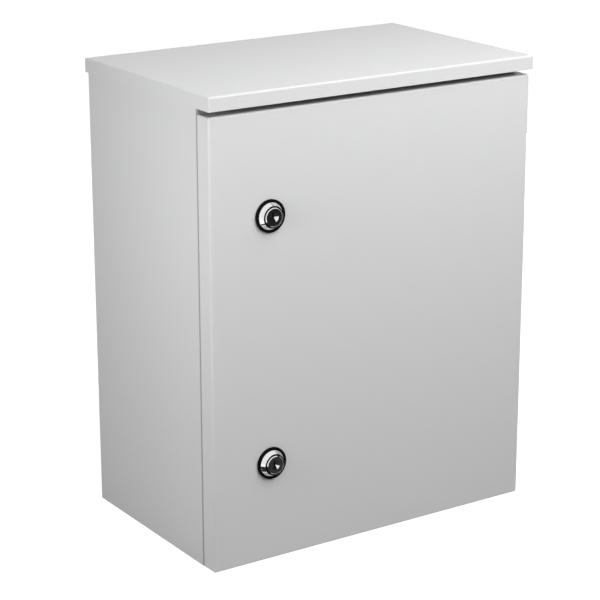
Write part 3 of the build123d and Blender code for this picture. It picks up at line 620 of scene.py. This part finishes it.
def soften(piece, width, segments):
    """Round the sharp edges of a piece and smooth its round faces."""
    edge = piece.modifiers.new("edge", "BEVEL")
    edge.width = width
    edge.segments = segments
    edge.limit_method = "ANGLE"
    edge.angle_limit = math.radians(25.0)
    edge.harden_normals = False
    bpy.context.view_layer.objects.active = piece
    bpy.ops.object.modifier_apply(modifier=edge.name)
    smooth(piece)
    flatter = piece.modifiers.new("flatter", "WEIGHTED_NORMAL")
    flatter.keep_sharp = True
    bpy.ops.object.modifier_apply(modifier=flatter.name)


def add_block(centre, size, lean=0.0):
    """A block, turned about the line of sight from the front."""
    bpy.ops.object.select_all(action="DESELECT")
    bpy.ops.mesh.primitive_cube_add(size=1.0, location=centre, rotation=(0.0, lean, 0.0),
                                    scale=size)
    block = bpy.context.object
    bpy.ops.object.transform_apply(location=True, rotation=True, scale=True)
    return block


for place_name in ("upper", "lower"):
    housing_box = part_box(f"{place_name}_lock_housing")
    ring_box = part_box(f"{place_name}_lock_ring")
    plug_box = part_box(f"{place_name}_lock_plug")
    lock_nut_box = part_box(f"{place_name}_lock_nut")
    lock_x = (ring_box[0].x + ring_box[1].x) / 2
    lock_z = (ring_box[0].z + ring_box[1].z) / 2
    face = (lock_x, ring_box[1].y, lock_z)
    ring_height = ring_box[1].y - ring_box[0].y
    tip_height = ring_box[1].y - housing_box[0].y
    barrel_end = ring_box[1].y - housing_box[1].y

    # The ring's outer edge is rounded
    ring = turn_piece(f"{place_name}_rubber_ring", face, outward, [
        (ring_bore, 0.0), (ring_radius - ring_back_edge, 0.0), (ring_radius, ring_back_edge),
        (ring_radius, ring_height - ring_front_edge),
        (ring_radius - ring_front_round, ring_height - ring_front_round),
        (ring_radius - ring_front_edge, ring_height), (ring_bore, ring_height)], True, lock_round)
    soften(ring, fine_edge, 2)
    dress(ring, rubber, "black_rubber", "door", f"{place_name}_lock_ring")

    # The bezel is a bevelled cone. A barrel with two flats and a fine thread runs back from it
    root = barrel_radius - thread_depth * barrel_pitch
    bezel = turn_piece(f"{place_name}_bezel", face, outward, [
        (root, ring_height - fine_edge), (bezel_radius, ring_height),
        (bezel_radius, ring_height + bezel_rim),
        (bezel_radius - 2 * fine_edge, ring_height + 2 * bezel_rim),
        (well_radius + bezel_lip, tip_height - fine_edge),
        (well_radius + 4 * fine_edge, tip_height), (well_radius + fine_edge, tip_height),
        (well_radius, tip_height - fine_edge), (well_radius, tip_height - well_depth),
        (bore_radius, tip_height - well_depth), (bore_radius, barrel_end), (root, barrel_end)],
        True, lock_round)
    ridge = wind_thread(face, outward, barrel_radius, barrel_end + 0.6 * barrel_pitch,
                        ring_height - barrel_end - 1.4 * barrel_pitch, barrel_pitch,
                        lock_round // 2)
    flat_length = ring_height - barrel_end + barrel_pitch
    flat_y = ring_box[0].y + flat_length / 2 + near
    for side in (-1, 1):
        flat_z = lock_z + side * (barrel_flat + flat_cutter_depth / 2)
        for threaded in (bezel, ridge):
            flat = add_block((lock_x, flat_y, flat_z),
                             (flat_cutter_width, flat_length, flat_cutter_depth))
            trim(threaded, flat, "DIFFERENCE")
    soften(bezel, metal_edge, 2)
    bezel.data.materials.append(chrome)
    bezel.data.materials.append(painted_gap_shade)
    well_floor_y = face[1] - (tip_height - well_depth)
    lip_y = face[1] - tip_height
    # The deep faces of the well take the painted shade
    for side in bezel.data.polygons:
        from_axis = math.hypot(side.center.x - lock_x, side.center.z - lock_z)
        if from_axis < well_radius + near / 2 and side.center.y < well_floor_y + near:
            if side.center.y > lip_y + 4 * fine_edge:
                side.material_index = 1
    ridge.data.materials.append(chrome)
    join_pieces(bezel, [ridge])
    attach(bezel, "door")
    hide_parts(f"{place_name}_lock_housing")

    lock_nut = make_nut(f"{place_name}_hexagon_nut", (lock_x, lock_nut_box[0].y, lock_z),
                        (0, 1, 0), barrel_radius, lock_nut_flats,
                        lock_nut_box[1].y - lock_nut_box[0].y)
    dress(lock_nut, zinc_plate, "zinc_plate", "door", f"{place_name}_lock_nut")

    # The plug's head is chamfered at its rim and dished round the keyhole. Its shank takes the cam
    head_height = ring_box[1].y - plug_box[0].y
    head_back = tip_height - well_depth + plug_air
    plug_back = barrel_end - plug_air
    plug = turn_piece(f"{place_name}_plug", face, outward, [
        (plug_radius, plug_back), (plug_radius, head_back), (plug_head_radius, head_back),
        (plug_head_radius, head_height - plug_chamfer),
        (plug_head_radius - plug_chamfer, head_height), (dish_radius, head_height),
        (dish_floor, head_height - dish_depth),
        (dish_floor / 2, head_height - dish_depth - fine_edge)], False, lock_round)
    keyhole = add_block((lock_x, plug_box[0].y, lock_z),
                        (keyhole_width, 2 * keyhole_depth, keyhole_length), keyhole_lean)
    trim(plug, keyhole, "DIFFERENCE")
    soften(plug, metal_edge, 2)
    plug.data.materials.append(chrome)
    plug.data.materials.append(painted_gap_shade)
    # The faces inside the keyhole take the painted shade
    for side in plug.data.polygons:
        to_side = side.center - Vector((lock_x, plug_box[0].y, lock_z))
        across_slot = to_side.x * math.cos(keyhole_lean) - to_side.z * math.sin(keyhole_lean)
        along_slot = to_side.x * math.sin(keyhole_lean) + to_side.z * math.cos(keyhole_lean)
        if abs(across_slot) < 0.51 * keyhole_width and abs(along_slot) < 0.51 * keyhole_length:
            if to_side.y > 3 * fine_edge and to_side.y < keyhole_depth + 5 * fine_edge:
                side.material_index = 1
    shank_end = plug_box[1].y
    shank_start = face[1] - plug_back - shank_overlap
    shank = add_block((lock_x, (shank_start + shank_end) / 2, lock_z),
                      (shank_width, shank_end - shank_start, shank_width))
    soften(shank, shank_edge, 2)
    shank.data.materials.append(chrome)
    join_pieces(plug, [shank])
    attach(plug, f"{place_name}_lock")
    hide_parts(f"{place_name}_lock_plug")
    for name in ("lock_cam", "cam_washer", "cam_screw"):
        finish_node(f"{place_name}_{name}", zinc_plate)

# Studio: a pale floor, a white surround, and soft lamps above, at the left and behind.
floor_z = cad_box[0].z - 0.0002
floor_size = 8.0
floor_grey = (0.40, 0.40, 0.40, 1.0)
floor_glow = 0.925
surround_light = 0.15


def add_seen_rays(nodes, links):
    """One for the rays that see the studio as it looks: from the camera, in mirrors and through
    glass. Nought for the rays that light the object."""
    ray = nodes.new("ShaderNodeLightPath")
    seen = nodes.new("ShaderNodeMath")
    seen.operation = "MAXIMUM"
    mirrored = nodes.new("ShaderNodeMath")
    mirrored.operation = "MAXIMUM"
    links.new(ray.outputs["Is Camera Ray"], seen.inputs[0])
    links.new(ray.outputs["Is Glossy Ray"], seen.inputs[1])
    links.new(seen.outputs["Value"], mirrored.inputs[0])
    links.new(ray.outputs["Is Transmission Ray"], mirrored.inputs[1])
    return mirrored.outputs["Value"]


bpy.ops.object.select_all(action="DESELECT")
bpy.ops.mesh.primitive_plane_add(size=floor_size, location=(0, 0, floor_z))
floor = bpy.context.object
floor.name = "studio_floor"
floor_paint = bpy.data.materials.new("floor_paint")
floor_paint.use_nodes = True
nodes = floor_paint.node_tree.nodes
links = floor_paint.node_tree.links
shader = nodes["Principled BSDF"]
shader.inputs["Base Color"].default_value = floor_grey
shader.inputs["Roughness"].default_value = 0.9
glow = nodes.new("ShaderNodeEmission")
brightness = nodes.new("ShaderNodeMath")
brightness.operation = "MULTIPLY"
brightness.inputs[1].default_value = floor_glow
lit_and_glowing = nodes.new("ShaderNodeAddShader")
links.new(add_seen_rays(nodes, links), brightness.inputs[0])
links.new(brightness.outputs["Value"], glow.inputs["Strength"])
links.new(shader.outputs["BSDF"], lit_and_glowing.inputs[0])
links.new(glow.outputs["Emission"], lit_and_glowing.inputs[1])
links.new(lit_and_glowing.outputs["Shader"], nodes["Material Output"].inputs["Surface"])
floor.data.materials.append(floor_paint)

# Dark cards on the floor in front and at the right: only mirror-like reflections see them, as
# polished metal shows the dark side of a studio
card_paint = bpy.data.materials.new("card_paint")
card_paint.use_nodes = True
nodes = card_paint.node_tree.nodes
links = card_paint.node_tree.links
shader = nodes["Principled BSDF"]
shader.inputs["Base Color"].default_value = (0.01, 0.01, 0.01, 1.0)
shader.inputs["Roughness"].default_value = 0.9
clear = nodes.new("ShaderNodeBsdfTransparent")
ray = nodes.new("ShaderNodeLightPath")
choice = nodes.new("ShaderNodeMixShader")
links.new(ray.outputs["Is Glossy Ray"], choice.inputs["Fac"])
links.new(clear.outputs["BSDF"], choice.inputs[1])
links.new(shader.outputs["BSDF"], choice.inputs[2])
links.new(choice.outputs["Shader"], nodes["Material Output"].inputs["Surface"])


def add_card(name, centre, rotation, size):
    """A flat card that stands in the studio."""
    bpy.ops.object.select_all(action="DESELECT")
    bpy.ops.mesh.primitive_plane_add(size=1.0, location=centre, rotation=rotation)
    card = bpy.context.object
    card.name = name
    card.scale = (size[0], size[1], 1.0)
    bpy.ops.object.transform_apply(location=True, rotation=True, scale=True)
    card.data.materials.append(card_paint)


lying = (0.0, 0.0, 0.0)
facing_left = (0.0, math.pi / 2, 0.0)
facing_back = (math.pi / 2, 0.0, 0.0)
add_card("card_on_floor", (0.64, -1.2265, floor_z + 0.001), lying, (2.12, 1.947))
add_card("low_card_at_right", (1.0, -0.74, floor_z + 0.52), facing_left, (1.04, 0.92))
add_card("card_at_right", (1.0, -1.7, floor_z + 0.78), facing_left, (1.55, 1.0))
add_card("card_in_front", (0.57, -2.2, floor_z + 0.95), facing_back, (0.86, 1.85))

# The surround is plain white to look at, and lights the object weakly
world = bpy.data.worlds.new("studio")
bpy.context.scene.world = world
world.use_nodes = True
nodes = world.node_tree.nodes
links = world.node_tree.links
surround = nodes["Background"]
surround.inputs["Color"].default_value = (1.0, 1.0, 1.0, 1.0)
surround.inputs["Strength"].default_value = surround_light
backdrop = nodes.new("ShaderNodeBackground")
backdrop.inputs["Color"].default_value = (1.0, 1.0, 1.0, 1.0)
backdrop.inputs["Strength"].default_value = 1.0
choice = nodes.new("ShaderNodeMixShader")
links.new(add_seen_rays(nodes, links), choice.inputs["Fac"])
links.new(surround.outputs["Background"], choice.inputs[1])
links.new(backdrop.outputs["Background"], choice.inputs[2])
links.new(choice.outputs["Shader"], nodes["World Output"].inputs["Surface"])


def direction_to(position, target):
    """The rotation that turns a lamp's face from its position to the target."""
    across = math.hypot(target[0] - position[0], target[1] - position[1])
    pitch = math.atan2(target[2] - position[2], across)
    heading = math.atan2(target[1] - position[1], target[0] - position[0])
    return (pitch + math.pi / 2, 0.0, heading - math.pi / 2)


def add_softbox(name, position, target, width, power):
    """A square soft lamp that faces the target. Polished metal shows the surround in its place."""
    lamp = bpy.data.lights.new(name, "AREA")
    lamp.size = width
    lamp.energy = power
    softbox = bpy.data.objects.new(name, lamp)
    bpy.context.scene.collection.objects.link(softbox)
    softbox.location = position
    softbox.rotation_euler = direction_to(position, target)
    softbox.visible_glossy = False


add_softbox("softbox_above", (0.15, -0.85, 0.85), (0.0, -0.2, 0.15), 1.0, 14.7)
add_softbox("softbox_above_right", (0.6, -0.95, 0.8), (0.05, -0.2, 0.1), 0.9, 2.0)
add_softbox("softbox_left", (-0.68, -0.32, 0.24), (-0.2, -0.15, 0.05), 0.25, 2.33)
add_softbox("softbox_behind", (1.3, 1.3, -0.05), (0.0, 0.0, -0.05), 0.5, 14.0)

# Camera: to the left of the front and a little above it, as in the photograph.
camera_data = bpy.data.cameras.new("camera")
camera_data.lens = 123.6
camera_data.sensor_width = 36.0
camera = bpy.data.objects.new("camera", camera_data)
bpy.context.scene.collection.objects.link(camera)
camera.location = (-1.202, -1.9222, 0.6447)
camera.rotation_euler = (math.radians(72.90), math.radians(0.09), math.radians(-33.556))
bpy.context.scene.camera = camera
bpy.context.scene.view_settings.view_transform = "Standard"
